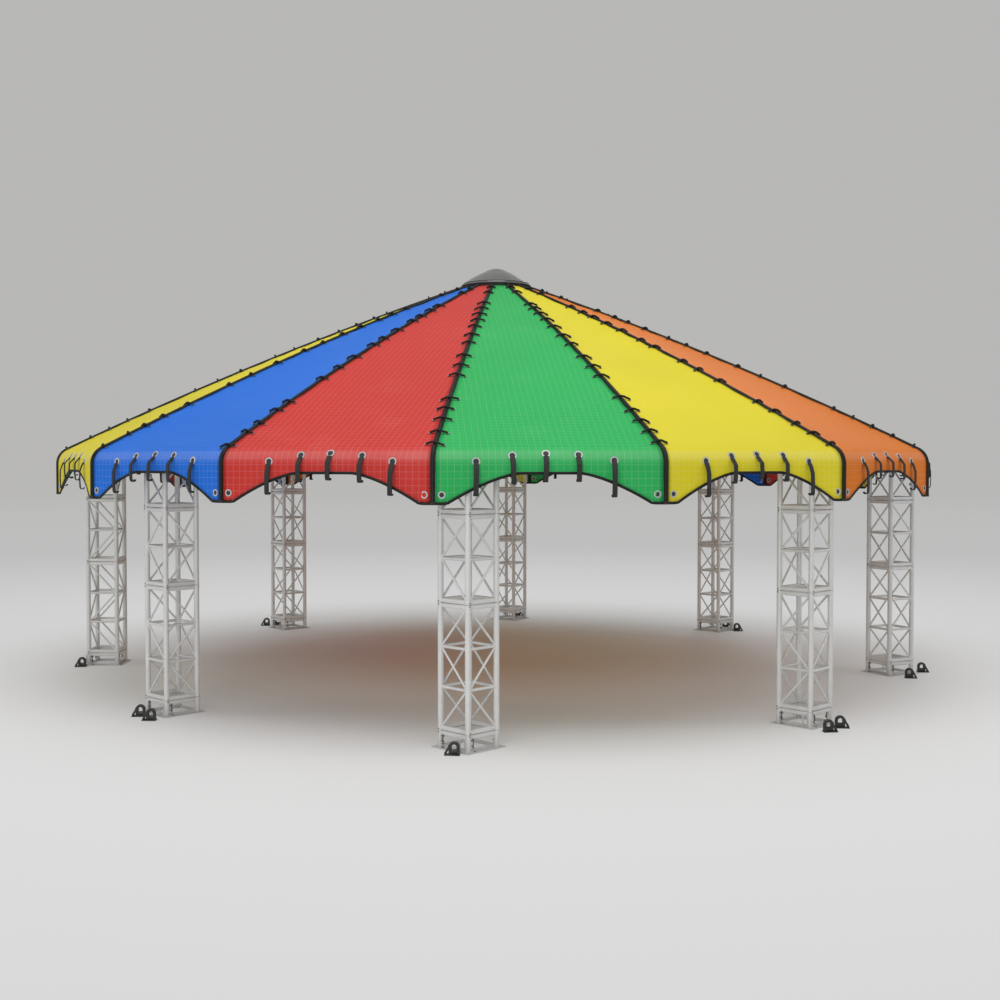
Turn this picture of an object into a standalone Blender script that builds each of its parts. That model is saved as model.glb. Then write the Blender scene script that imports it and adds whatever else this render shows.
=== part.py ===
"""Round event canopy: sixteen laced fabric panels on bent seam tubes, carried by a ring of truss towers.

Metres, +Z up. The origin is on the ground, under the middle of the roof. Bearings are degrees
seen from above, counted from -Y (the front) towards +X.
"""
import math

import bmesh
import bpy
from mathutils import Matrix, Vector

# Driving dimensions of the round plan
SIDES = 16
FIRST_SEAM_BEARING = -6.0
SEAM_STEP = 360.0 / SIDES
CANOPY_RADIUS = 6.0
TUBE_RADIUS = 0.025
TUBE_RESOLUTION = 1
TUBE_FLAT = TUBE_RADIUS * math.cos(math.pi / (4 + 2 * TUBE_RESOLUTION))
SEAM_RADIUS = CANOPY_RADIUS - TUBE_RADIUS
CONTACT_GAP = 0.0003

# Profile of a seam, from the crown down to the tip of the valance
TIP_HEIGHT = 2.50
EAVE_BEND_RADIUS = 0.20
EAVE_BEND_HEIGHT = 2.876
CROWN_HEIGHT = 5.37
CROWN_FACE_RADIUS = 0.465
CROWN_BEND_RADIUS = 0.485
ROOF_END_RADIUS = 5.864
ROOF_END_HEIGHT = 3.055
ROOF_BOW = 0.09
ROOF_SEGMENTS = 4
BEND_SEGMENTS = 4

# Fabric panels
FABRIC_THICKNESS = 0.008
PANEL_TOP_RADIUS = 0.515
SCALLOP_RISE = 0.30
SCALLOP_FLAT_TOP = 0.25
SCALLOP_FLAT_TIP = 0.90
SCALLOP_POWER = 1.5
PANEL_COLUMNS = 16

# Truss towers: three modules on a low base unit
TOWER_RADII = (5.57, 5.53, 5.48, 5.25, 5.25, 5.34, 5.60, 5.27)
TOWER_BEARINGS = (-2.9, 38.2, 80.7, 134.0, 177.25, 222.65, 270.5, 314.6)
TOWER_TURNS = (45.0, 45.0, 28.0, 45.0, 58.0, 39.0, 0.0, 45.0)
TOWER_WIDTH = 0.46
CHORD_WIDTH = 0.06
TOWER_WALL = 0.03
FRAME_BAR = 0.05
MIDDLE_BAR = 0.034
BRACE_WIDTH = 0.024
BASE_TOP = 0.18
MODULE_TOPS = (1.48, 2.38, 2.85)
MODULE_BAYS = (3, 2, 1)
SIDE_LEANS = (-1.0, -1.0, 1.0, 1.0)
BASE_PLATE_WIDTH = 0.54
BASE_PLATE_WINDOW = 0.30
BASE_PLATE_THICKNESS = 0.012
BASE_WINDOW_BOTTOM = 0.03

# Beam ring on the tower heads, with one saddle under each seam tube
BEAM_RADIUS = 5.45
BEAM_WIDTH = 0.12
BEAM_DEPTH = 0.20
SADDLE_WIDTH = 0.08
SADDLE_LENGTH = 0.10

# Crown ring and cap
CROWN_INNER_RADIUS = 0.40
CROWN_RING_DEPTH = 0.09
CAP_RADIUS = 0.50
CAP_FLANGE_RADIUS = 0.44
CAP_HEIGHT = 0.265
CAP_BAND = 0.035
CAP_SHOULDER_RADIUS = 0.14
CAP_SHOULDER_HEIGHT = 0.225
CAP_DOME_DROP = 0.01
CAP_WALL = 0.006
CAP_STEPS = 24

# Ground anchors: an upright eye on a foot plate, placed from the centre of their tower
ANCHOR_OFFSETS = (
    ((-0.155, -0.36),),
    ((0.168, -0.47), (0.35, -0.26)),
    ((0.148, -0.46), (0.47, 0.03)),
    ((0.36, -0.16), (0.24, 0.27)),
    ((0.17, 0.38),),
    ((-0.46, 0.30), (-0.27, 0.36)),
    ((-0.28, -0.33),),
    ((-0.322, -0.265), (-0.142, -0.495)),
)
EYE_RADIUS = 0.06
EYE_HOLE_RADIUS = 0.03
EYE_THICKNESS = 0.03
EYE_HEIGHT = 0.075
EYE_SEGMENTS = 8
FOOT_LENGTH = 0.16
FOOT_WIDTH = 0.08
FOOT_THICKNESS = 0.012

# Colours: linear RGB, roughness, metallic
FINISHES = {
    "green": ((0.03, 0.38, 0.11), 0.55, 0.0),
    "yellow": ((0.66, 0.57, 0.04), 0.55, 0.0),
    "orange": ((0.72, 0.17, 0.03), 0.55, 0.0),
    "blue": ((0.02, 0.13, 0.60), 0.55, 0.0),
    "red": ((0.58, 0.04, 0.03), 0.55, 0.0),
    "seam_black": ((0.015, 0.016, 0.018), 0.5, 0.0),
    "aluminium": ((0.62, 0.63, 0.62), 0.35, 0.9),
    "cap_grey": ((0.16, 0.16, 0.17), 0.3, 0.3),
    "anchor_black": ((0.02, 0.02, 0.02), 0.45, 0.4),
}
PANEL_COLOURS = (
    "green", "yellow", "orange", "blue", "yellow", "red", "blue", "green",
    "yellow", "orange", "blue", "red", "green", "yellow", "blue", "red",
)


def clear_scene():
    for old in list(bpy.data.objects):
        bpy.data.objects.remove(old, do_unlink=True)


def make_collection(name):
    collection = bpy.data.collections.new(name)
    bpy.context.scene.collection.children.link(collection)
    return collection


def make_material(name):
    colour, roughness, metallic = FINISHES[name]
    material = bpy.data.materials.new(name)
    material.use_nodes = True
    shader = material.node_tree.nodes["Principled BSDF"]
    shader.inputs["Base Color"].default_value = (*colour, 1.0)
    shader.inputs["Roughness"].default_value = roughness
    shader.inputs["Metallic"].default_value = metallic
    material.diffuse_color = (*colour, 1.0)
    return material


def add_object(name, data, collection, material=None):
    piece = bpy.data.objects.new(name, data)
    collection.objects.link(piece)
    if material:
        data.materials.append(material)
    return piece


def on_bearing(radius, bearing, height=0.0):
    angle = math.radians(bearing)
    return Vector((radius * math.sin(angle), -radius * math.cos(angle), height))


def roof_height(radius):
    """Height of a seam's centre line between the crown and the eave, bowed upwards."""
    share = (radius - CROWN_BEND_RADIUS) / (ROOF_END_RADIUS - CROWN_BEND_RADIUS)
    straight = CROWN_HEIGHT + share * (ROOF_END_HEIGHT - CROWN_HEIGHT)
    return straight + 4.0 * ROOF_BOW * share * (1.0 - share)


def roof_rows(first_radius):
    """Radius and height pairs along the roof, from first_radius to the start of the eave bend."""
    step = (ROOF_END_RADIUS - first_radius) / ROOF_SEGMENTS
    radii = [first_radius + step * index for index in range(ROOF_SEGMENTS)]
    return [(radius, roof_height(radius)) for radius in radii]


def bend_rows():
    """Radius and height pairs round the eave bend, ending where the valance hangs straight."""
    centre = SEAM_RADIUS - EAVE_BEND_RADIUS
    start = math.acos((ROOF_END_RADIUS - centre) / EAVE_BEND_RADIUS)
    rows = []
    for index in range(BEND_SEGMENTS + 1):
        angle = start * (1.0 - index / BEND_SEGMENTS)
        radius = centre + EAVE_BEND_RADIUS * math.cos(angle)
        rows.append((radius, EAVE_BEND_HEIGHT + EAVE_BEND_RADIUS * math.sin(angle)))
    return rows


def hem_height(share):
    """Height of the valance's lower edge, where share is 0 at mid-panel and 1 at a seam."""
    run = (abs(share) - SCALLOP_FLAT_TOP) / (SCALLOP_FLAT_TIP - SCALLOP_FLAT_TOP)
    drop = min(max(run, 0.0), 1.0) ** SCALLOP_POWER
    return TIP_HEIGHT + SCALLOP_RISE * (1.0 - drop)


def build_panel_mesh():
    """A grid bent over the roof and the eave, with a scalloped lowest row, for the bearing 0."""
    rows = roof_rows(PANEL_TOP_RADIUS) + bend_rows()
    half_step = math.radians(SEAM_STEP / 2.0)
    seam_clearance = (TUBE_RADIUS + CONTACT_GAP) / math.cos(half_step)
    last = len(rows)
    mesh = bmesh.new()
    bmesh.ops.create_grid(mesh, x_segments=PANEL_COLUMNS, y_segments=last, size=1.0)
    for vert in mesh.verts:
        share = vert.co.x
        row = round((1.0 - vert.co.y) / 2.0 * last)
        radius, height = rows[min(row, last - 1)]
        if row == last:
            height = hem_height(share)
        half_width = radius * math.sin(half_step) - seam_clearance
        vert.co = (share * half_width, -radius * math.cos(half_step), height)
    mesh.normal_update()
    bmesh.ops.dissolve_limit(mesh, angle_limit=math.radians(0.5), use_dissolve_boundaries=False,
                             verts=mesh.verts[:], edges=mesh.edges[:])
    bmesh.ops.recalc_face_normals(mesh, faces=mesh.faces[:])
    result = bpy.data.meshes.new("panel")
    mesh.to_mesh(result)
    mesh.free()
    return result


def add_panels(collection, materials):
    pattern = build_panel_mesh()
    for index, colour in enumerate(PANEL_COLOURS):
        data = pattern.copy()
        panel = add_object(f"panel_{index + 1:02d}", data, collection, materials[colour])
        bearing = FIRST_SEAM_BEARING + SEAM_STEP * (index + 0.5)
        panel.rotation_euler.z = math.radians(bearing)
        shell = panel.modifiers.new("thickness", "SOLIDIFY")
        shell.thickness = FABRIC_THICKNESS
        shell.offset = 0.0
        shell.use_even_offset = True
    bpy.data.meshes.remove(pattern)


def rafter_rows():
    """Radius and height pairs of the bent seam tube's centre line, from the crown to its tip."""
    start = [(CROWN_FACE_RADIUS + CONTACT_GAP, CROWN_HEIGHT)]
    return start + roof_rows(CROWN_BEND_RADIUS) + bend_rows() + [(SEAM_RADIUS, TIP_HEIGHT)]


def rafter_height(radius):
    """Height of the seam tube's centre line at a radius on the roof."""
    rows = rafter_rows()
    for (inner, high), (outer, low) in zip(rows, rows[1:]):
        if inner <= radius <= outer:
            return high + (low - high) * (radius - inner) / (outer - inner)
    raise ValueError("the radius is outside the roof")


def add_rafters(collection, material):
    points = [on_bearing(radius, 0.0, height) for radius, height in rafter_rows()]
    for index in range(SIDES):
        curve = bpy.data.curves.new(f"rafter_{index + 1:02d}", "CURVE")
        curve.dimensions = "3D"
        curve.bevel_depth = TUBE_RADIUS
        curve.bevel_resolution = TUBE_RESOLUTION
        curve.use_fill_caps = True
        spline = curve.splines.new("POLY")
        spline.points.add(len(points) - 1)
        for slot, point in zip(spline.points, points):
            slot.co = (*point, 1.0)
        rafter = add_object(curve.name, curve, collection, material)
        rafter.rotation_euler.z = math.radians(FIRST_SEAM_BEARING + SEAM_STEP * index)


def add_outline(curve, corners):
    spline = curve.splines.new("POLY")
    spline.points.add(len(corners) - 1)
    for slot, corner in zip(spline.points, corners):
        slot.co = (corner[0], corner[1], 0.0, 1.0)
    spline.use_cyclic_u = True


def rectangle(left, right, bottom, top):
    return [(left, bottom), (right, bottom), (right, top), (left, top)]


def braced_bay_windows(half_width, bottom, top, lean):
    """The two triangular gaps that one brace leaves in a bay; it rises to the right where lean is 1."""
    width = 2.0 * half_width
    height = top - bottom
    slant = math.hypot(width, height)
    along = BRACE_WIDTH / 2.0 * slant / width
    across = BRACE_WIDTH / 2.0 * slant / height
    above = [(-half_width, bottom + along), (half_width - across, top), (-half_width, top)]
    below = [(across - half_width, bottom), (half_width, bottom), (half_width, top - along)]
    return [[(lean * x, z) for x, z in window] for window in (above, below)]


def tower_side_sections(first_lean):
    """Bottom, top and gaps of the base unit and of each module, for one side of a tower."""
    half_width = TOWER_WIDTH / 2.0 - CHORD_WIDTH
    base_window = rectangle(-half_width, half_width, BASE_WINDOW_BOTTOM, BASE_TOP - FRAME_BAR)
    sections = [(BASE_PLATE_THICKNESS / 2.0, BASE_TOP, [base_window])]
    bottom = BASE_TOP
    lean = first_lean
    for top, bays in zip(MODULE_TOPS, MODULE_BAYS):
        windows = []
        first = bottom + FRAME_BAR
        pitch = (top - FRAME_BAR - first + MIDDLE_BAR) / bays
        for bay in range(bays):
            low = first + pitch * bay
            windows += braced_bay_windows(half_width, low, low + pitch - MIDDLE_BAR, lean)
            lean = -lean
        sections.append((bottom, top, windows))
        bottom = top
    return sections


def mesh_from_curve(curve, name):
    """The curve's filled shape as a mesh, with its loose points joined."""
    holder = bpy.data.objects.new(name, curve)
    bpy.context.scene.collection.objects.link(holder)
    bpy.context.view_layer.update()
    evaluated = holder.evaluated_get(bpy.context.evaluated_depsgraph_get())
    result = bpy.data.meshes.new_from_object(evaluated)
    bpy.data.objects.remove(holder)
    bpy.data.curves.remove(curve)
    return result


def flat_curve(name, half_thickness):
    curve = bpy.data.curves.new(name, "CURVE")
    curve.dimensions = "2D"
    curve.fill_mode = "BOTH"
    curve.extrude = half_thickness
    return curve


def build_tower_skin():
    """Four latticed sides folded to a square tube, open at both ends and without thickness."""
    half = TOWER_WIDTH / 2.0
    stand = Matrix.Translation((0.0, -half, 0.0)) @ Matrix.Rotation(math.radians(90.0), 4, "X")
    mesh = bmesh.new()
    for quarter, first_lean in enumerate(SIDE_LEANS):
        turn = Matrix.Rotation(math.radians(90.0 * quarter), 4, "Z")
        for bottom, top, windows in tower_side_sections(first_lean):
            curve = flat_curve("tower_side", 0.0)
            add_outline(curve, rectangle(-half, half, bottom, top))
            for window in windows:
                add_outline(curve, window)
            side = mesh_from_curve(curve, "tower_side")
            mesh.from_mesh(side)
            mesh.verts.ensure_lookup_table()
            fresh = mesh.verts[-len(side.vertices):]
            bmesh.ops.transform(mesh, matrix=turn @ stand, verts=fresh)
            bpy.data.meshes.remove(side)
    bmesh.ops.remove_doubles(mesh, verts=mesh.verts[:], dist=0.0001)
    bmesh.ops.recalc_face_normals(mesh, faces=mesh.faces[:])
    skin = bpy.data.meshes.new("tower_skin")
    mesh.to_mesh(skin)
    mesh.free()
    return skin


def build_base_plate():
    """The square plate that a tower stands on, open in the middle."""
    curve = flat_curve("base_plate", BASE_PLATE_THICKNESS / 2.0)
    for width in (BASE_PLATE_WIDTH, BASE_PLATE_WINDOW):
        add_outline(curve, rectangle(-width / 2.0, width / 2.0, -width / 2.0, width / 2.0))
    plate = mesh_from_curve(curve, "base_plate")
    mesh = bmesh.new()
    mesh.from_mesh(plate)
    bmesh.ops.remove_doubles(mesh, verts=mesh.verts[:], dist=0.0001)
    bmesh.ops.translate(mesh, verts=mesh.verts[:], vec=(0.0, 0.0, BASE_PLATE_THICKNESS / 2.0))
    mesh.to_mesh(plate)
    mesh.free()
    return plate


def join_solids(name, base, addition, helpers):
    """The union of a base object and a further mesh, as one new mesh."""
    tool = add_object(f"{name}_tool", addition, helpers)
    tool.hide_render = True
    tool.display_type = "WIRE"
    union = base.modifiers.new("join", "BOOLEAN")
    union.operation = "UNION"
    union.solver = "EXACT"
    union.object = tool
    bpy.context.view_layer.update()
    evaluated = base.evaluated_get(bpy.context.evaluated_depsgraph_get())
    result = bpy.data.meshes.new_from_object(evaluated)
    result.name = name
    bpy.data.objects.remove(base)
    return result


def build_tower_mesh(helpers):
    lattice = add_object("tower_lattice", build_tower_skin(), helpers)
    lattice.hide_render = True
    lattice.display_type = "WIRE"
    wall = lattice.modifiers.new("wall", "SOLIDIFY")
    wall.thickness = TOWER_WALL
    wall.offset = -1.0
    wall.use_even_offset = True
    return join_solids("tower", lattice, build_base_plate(), helpers)


def tower_centre(index):
    return on_bearing(TOWER_RADII[index], TOWER_BEARINGS[index])


def add_towers(collection, helpers, material):
    data = build_tower_mesh(helpers)
    data.materials.clear()
    data.materials.append(material)
    for index, turn in enumerate(TOWER_TURNS):
        tower = add_object(f"tower_{index + 1}", data, collection)
        tower.location = tower_centre(index)
        tower.rotation_euler.z = math.radians(turn)


def eye_outline():
    """An upright lug: a half round on straight sides that run down into the foot."""
    corners = [(-EYE_RADIUS, FOOT_THICKNESS / 2.0), (EYE_RADIUS, FOOT_THICKNESS / 2.0)]
    for index in range(EYE_SEGMENTS // 2 + 1):
        angle = math.pi * index / (EYE_SEGMENTS // 2)
        corners.append((EYE_RADIUS * math.cos(angle), EYE_HEIGHT + EYE_RADIUS * math.sin(angle)))
    return corners


def eye_hole():
    turns = [2.0 * math.pi * (index + 0.5) / EYE_SEGMENTS for index in range(EYE_SEGMENTS)]
    return [(EYE_HOLE_RADIUS * math.cos(turn), EYE_HEIGHT + EYE_HOLE_RADIUS * math.sin(turn)) for turn in turns]


def build_anchor_mesh(helpers):
    curve = flat_curve("eye", EYE_THICKNESS / 2.0)
    add_outline(curve, eye_outline())
    add_outline(curve, eye_hole())
    eye = mesh_from_curve(curve, "eye")
    mesh = bmesh.new()
    mesh.from_mesh(eye)
    bmesh.ops.remove_doubles(mesh, verts=mesh.verts[:], dist=0.0001)
    bmesh.ops.rotate(mesh, verts=mesh.verts[:], matrix=Matrix.Rotation(math.radians(90.0), 3, "X"))
    mesh.to_mesh(eye)
    mesh.free()
    foot = bpy.data.meshes.new("foot")
    mesh = bmesh.new()
    bmesh.ops.create_cube(mesh, size=1.0)
    bmesh.ops.scale(mesh, vec=(FOOT_LENGTH, FOOT_WIDTH, FOOT_THICKNESS), verts=mesh.verts[:])
    bmesh.ops.translate(mesh, vec=(0.0, 0.0, FOOT_THICKNESS / 2.0), verts=mesh.verts[:])
    mesh.to_mesh(foot)
    mesh.free()
    base = add_object("anchor_foot", foot, helpers)
    return join_solids("anchor", base, eye, helpers)


def add_anchors(collection, helpers, material):
    data = build_anchor_mesh(helpers)
    data.materials.append(material)
    number = 0
    for index, offsets in enumerate(ANCHOR_OFFSETS):
        for across, back in offsets:
            number += 1
            anchor = add_object(f"anchor_{number:02d}", data, collection)
            anchor.location = tower_centre(index) + Vector((across, back, 0.0))


def ring_section(inner, outer, bottom, top, first_bearing, name):
    """A ring of rectangular section with SIDES flat sides, corners at first_bearing."""
    mesh = bmesh.new()
    profile = [on_bearing(inner, first_bearing, bottom), on_bearing(outer, first_bearing, bottom),
               on_bearing(outer, first_bearing, top), on_bearing(inner, first_bearing, top)]
    verts = [mesh.verts.new(point) for point in profile]
    edges = [mesh.edges.new((verts[index - 1], verts[index])) for index in range(len(verts))]
    bmesh.ops.spin(mesh, geom=verts + edges, cent=(0.0, 0.0, 0.0), axis=(0.0, 0.0, 1.0),
                   angle=math.tau, steps=SIDES, use_merge=True)
    bmesh.ops.remove_doubles(mesh, verts=mesh.verts[:], dist=0.0001)
    bmesh.ops.recalc_face_normals(mesh, faces=mesh.faces[:])
    result = bpy.data.meshes.new(name)
    mesh.to_mesh(result)
    mesh.free()
    return result


def build_saddles(bottom):
    """One block under each seam tube, its top cut to the tube's slope."""
    mesh = bmesh.new()
    inner = BEAM_RADIUS - SADDLE_LENGTH / 2.0
    outer = BEAM_RADIUS + SADDLE_LENGTH / 2.0
    slope = (rafter_height(inner) - rafter_height(outer)) / SADDLE_LENGTH
    drop = (TUBE_FLAT + CONTACT_GAP) * math.hypot(1.0, slope)
    for index in range(SIDES):
        block = bmesh.ops.create_cube(mesh, size=1.0)["verts"]
        for vert in block:
            radius = BEAM_RADIUS + vert.co.y * SADDLE_LENGTH
            height = rafter_height(radius) - drop if vert.co.z > 0.0 else bottom
            vert.co = (vert.co.x * SADDLE_WIDTH, -radius, height)
        turn = Matrix.Rotation(math.radians(FIRST_SEAM_BEARING + SEAM_STEP * index), 4, "Z")
        bmesh.ops.transform(mesh, matrix=turn, verts=block)
    bmesh.ops.recalc_face_normals(mesh, faces=mesh.faces[:])
    result = bpy.data.meshes.new("saddles")
    mesh.to_mesh(result)
    mesh.free()
    return result


def add_beam_ring(collection, helpers, material):
    bottom = MODULE_TOPS[-1] + CONTACT_GAP
    top = bottom + BEAM_DEPTH
    ring = ring_section(BEAM_RADIUS - BEAM_WIDTH / 2.0, BEAM_RADIUS + BEAM_WIDTH / 2.0,
                        bottom, top, FIRST_SEAM_BEARING, "beam_ring")
    base = add_object("beam_ring_base", ring, helpers)
    saddles = build_saddles(top - BEAM_DEPTH / 2.0)
    data = join_solids("beam_ring", base, saddles, helpers)
    add_object("beam_ring", data, collection, material)


def add_crown_ring(collection, material):
    half_step = math.radians(SEAM_STEP / 2.0)
    data = ring_section(CROWN_INNER_RADIUS, CROWN_FACE_RADIUS / math.cos(half_step),
                        CROWN_HEIGHT + TUBE_FLAT - CROWN_RING_DEPTH, CROWN_HEIGHT + TUBE_FLAT,
                        FIRST_SEAM_BEARING + SEAM_STEP / 2.0, "crown_ring")
    add_object("crown_ring", data, collection, material)


def cap_profile():
    """Radius and height pairs of the cap's wall: outside from the rim up, then inside back down."""
    shoulder = (CAP_SHOULDER_RADIUS, CAP_SHOULDER_HEIGHT)
    dome = (0.5 * CAP_SHOULDER_RADIUS, CAP_HEIGHT - CAP_DOME_DROP)
    outside = [(CAP_RADIUS, 0.0), (CAP_RADIUS, CAP_BAND), shoulder, dome]
    rim = (CAP_RADIUS - 2.0 * CAP_WALL, CAP_BAND)
    inside = [(radius, height - CAP_WALL) for radius, height in (dome, shoulder, rim)]
    flange = [(CAP_FLANGE_RADIUS, CAP_WALL), (CAP_FLANGE_RADIUS, 0.0)]
    return outside + [(0.0, CAP_HEIGHT)], [(0.0, CAP_HEIGHT - CAP_WALL)] + inside + flange


def add_cap(collection, material):
    outside, inside = cap_profile()
    base = CROWN_HEIGHT + TUBE_FLAT + CONTACT_GAP
    mesh = bmesh.new()
    verts = [mesh.verts.new((radius, 0.0, base + height)) for radius, height in outside + inside]
    for index in range(len(outside) - 1):
        mesh.edges.new((verts[index], verts[index + 1]))
    for index in range(len(outside), len(verts) - 1):
        mesh.edges.new((verts[index], verts[index + 1]))
    mesh.edges.new((verts[-1], verts[0]))
    data = bpy.data.meshes.new("cap")
    mesh.to_mesh(data)
    mesh.free()
    cap = add_object("cap", data, collection, material)
    turning = cap.modifiers.new("turning", "SCREW")
    turning.steps = CAP_STEPS
    turning.render_steps = CAP_STEPS
    turning.use_merge_vertices = True
    turning.merge_threshold = 0.0001
    turning.use_normal_calculate = True


def main():
    clear_scene()
    canopy = make_collection("event_canopy")
    helpers = make_collection("helpers")
    materials = {name: make_material(name) for name in FINISHES}
    add_panels(canopy, materials)
    add_rafters(canopy, materials["seam_black"])
    add_towers(canopy, helpers, materials["aluminium"])
    add_anchors(canopy, helpers, materials["anchor_black"])
    add_beam_ring(canopy, helpers, materials["aluminium"])
    add_crown_ring(canopy, materials["aluminium"])
    add_cap(canopy, materials["cap_grey"])


main()
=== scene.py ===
"""Looks of the round event canopy: laced cloth, seam tubes, truss towers, anchors, crown and studio.

Metres, +Z up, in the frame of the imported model. Bearings are degrees seen from above, counted from
-Y (the front) towards +X. A seam's own axes are: x across it, y outwards from the cloth, z down it.
"""

import math
import random

import bmesh
import bpy
from bpy.props import FloatProperty, FloatVectorProperty, IntProperty, PointerProperty
from bpy.types import Operator, Panel, PropertyGroup
from mathutils import Matrix, Vector, noise


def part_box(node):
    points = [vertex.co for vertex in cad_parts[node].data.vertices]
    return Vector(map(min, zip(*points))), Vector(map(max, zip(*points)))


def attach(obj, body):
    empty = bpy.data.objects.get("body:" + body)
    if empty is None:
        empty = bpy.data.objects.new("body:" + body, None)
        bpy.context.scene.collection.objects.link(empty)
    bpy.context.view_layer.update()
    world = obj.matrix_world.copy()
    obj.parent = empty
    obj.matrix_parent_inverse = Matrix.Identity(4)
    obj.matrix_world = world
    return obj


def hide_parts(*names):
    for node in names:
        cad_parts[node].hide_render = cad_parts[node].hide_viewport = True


bl_info = {
    "name": "Round Event Canopy",
    "version": (1, 0, 0),
    "blender": (4, 5, 0),
    "location": "3D View > Sidebar > Canopy",
    "description": "Dresses a round canopy in laced cloth, seam tubes, truss towers and fittings",
    "category": "Object",
}

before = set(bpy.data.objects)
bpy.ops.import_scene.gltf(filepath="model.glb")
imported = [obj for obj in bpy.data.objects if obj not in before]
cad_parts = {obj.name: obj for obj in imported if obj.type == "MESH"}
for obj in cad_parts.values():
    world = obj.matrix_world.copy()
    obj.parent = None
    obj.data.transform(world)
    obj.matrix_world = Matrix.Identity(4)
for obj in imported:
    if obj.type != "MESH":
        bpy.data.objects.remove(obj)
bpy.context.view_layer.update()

# Plan and profile, as in the solids
SIDES = 16
FIRST_SEAM_BEARING = -6.0
SEAM_STEP = 360.0 / SIDES
SEAM_BEARINGS = [FIRST_SEAM_BEARING + SEAM_STEP * index for index in range(SIDES)]
LABELS = [f"{index + 1:02d}" for index in range(SIDES)]
HALF_STEP = math.radians(SEAM_STEP / 2.0)
TUBE_RADIUS = 0.025
SEAM_RADIUS = 5.975
SEAM_CLEARANCE = (TUBE_RADIUS + 0.0003) / math.cos(HALF_STEP)
TIP_HEIGHT = 2.50
BEND_RADIUS = 0.20
BEND_HEIGHT = 2.876
BEND_CENTRE = SEAM_RADIUS - BEND_RADIUS
CROWN_HEIGHT = 5.37
CROWN_FACE_RADIUS = 0.4653
CROWN_BEND_RADIUS = 0.485
ROOF_END_RADIUS = 5.864
ROOF_END_HEIGHT = 3.055
ROOF_BOW = 0.09
BEND_START = math.acos((ROOF_END_RADIUS - BEND_CENTRE) / BEND_RADIUS)
PANEL_TOP_RADIUS = 0.515
SCALLOP_RISE = 0.30
SCALLOP_FLAT_TOP = 0.25
SCALLOP_FLAT_TIP = 0.90
SCALLOP_POWER = 1.5
TOWER_TURNS = (45.0, 45.0, 28.0, 45.0, 58.0, 39.0, 0.0, 45.0)
CHORD_REACH = 0.20
CHORD_RADIUS = 0.03
CHORD_BOTTOM = 0.016
BASE_TOP = 0.18
MODULE_TOPS = (1.48, 2.38, 2.85)
MODULE_BAYS = (3, 2, 1)
JOINTS = (BASE_TOP, *MODULE_TOPS)
FRAME_BAR = 0.05
MIDDLE_BAR = 0.034
JOINT_GAP = 0.002
SIDE_LEANS = (-1.0, -1.0, 1.0, 1.0)
ANCHORS = 13
BEAM_RADIUS = 5.45
BEAM_WIDTH = 0.12
BEAM_DEPTH = 0.20
BEAM_BOTTOM = MODULE_TOPS[-1] + 0.0003
BEAM_TUBE = 0.016
BEAM_WEB = 0.009
BEAM_BAYS = 8
CAP_BASE = 5.392

# The cloth: how finely it is drawn, and how it stirs
CLOTH_COLUMNS = 32
ROOF_ROWS = 34
BEND_ROWS = 9
VALANCE_ROWS = 8
HEM_STEPS = 56
SAG_WIDTH = 1.14
SAG_FADE = 0.45
RIPPLE = 0.0045
RIPPLE_REACH = 0.12
HANG_FADE = 0.4
EAVE_MARGIN = 0.1
CRUMPLE = 0.006
# Length along a panel where the painted highlight on its eave bend begins, is brightest and ends
EAVE_HIGHLIGHT_LENGTHS = (5.84, 5.95, 6.06)
PANEL_COLOURS = (
    "green", "yellow", "orange", "blue", "yellow", "red", "blue", "green",
    "yellow", "orange", "blue", "red", "green", "yellow", "blue", "red",
)

# Ties, eyelets and straps. Sections are x, y corners
TIE_RADII = (0.72, 1.00, 1.58, 1.80, 2.04, 2.27, 2.58, 2.90, 3.16, 3.58, 3.90, 4.20,
             4.80, 5.06, 5.33, 5.56, 5.83)
TIE_FOOT = 0.010
SMALL_EYELET_RADIUS = 0.0135
SMALL_EYELET = ((0.0025, -0.0045), (0.0025, 0.0045), (-0.002, 0.004), (-0.002, -0.004))
EYELET = ((0.0035, -0.007), (0.0035, 0.0055), (-0.002, 0.008), (-0.002, -0.008))
STRAP_SHARES = (-0.6, -0.3, 0.0, 0.3, 0.6)
STRAP_SHIFTS = {0: -0.04, 15: 0.06}
STRAP_TOPS = (2.91, 2.97, 2.98, 2.97, 2.91)
STRAP_ENDS = (2.56, 2.695, 2.71, 2.695, 2.565)
STRAP_CURL = (35, 70, 105, 140, 172)
STRAP_THICKNESS = 0.010
CORNER_EYELET_HEIGHT = 2.578
CORNER_EYELET_INSET = 0.062
CORNER_EYELET_SIZE = 0.86

# Tower fittings: reach outwards and height along a latch, then height, reach and radius of its bars
LATCH_PATH = ((0.0, 0.148), (0.008, 0.118), (0.010, 0.085), (0.0, 0.058), (0.014, 0.046))
LATCH_BARS = ((0.125, 0.014, 0.007), (0.070, 0.012, 0.006))
# Half size, band width, bottom and top of the base frame's flat bars and of the edge inside them
GROUND_FRAME = ((0.27, 0.075, 0.0, 0.010), (0.197, 0.005, 0.009, 0.038))
# Size and height of a saddle's plates above the beam
SADDLE_PLATES = (((0.080, 0.100, 0.012), 0.004), ((0.012, 0.085, 0.12), 0.055),
                 ((0.070, 0.012, 0.11), 0.050))
# Radius and height above CAP_BASE: the cap's lip and groove, its cone and dome, and the skirt
CAP_LIP = ((0.500, 0.008), (0.503, 0.012), (0.503, 0.022), (0.499, 0.026), (0.472, 0.028),
           (0.467, 0.040), (0.474, 0.046))
CAP_FOOT = ((0.458, 0.024), (0.486, 0.010))
CAP_SHOULDER = (0.170, 0.215)
CAP_BULGE = 0.010
CAP_DOME = 0.050
CAP_WALL = 0.006
SKIRT = ((0.455, 0.006), (0.492, 0.004), (0.500, -0.004), (0.500, -0.032), (0.455, -0.020))

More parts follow.
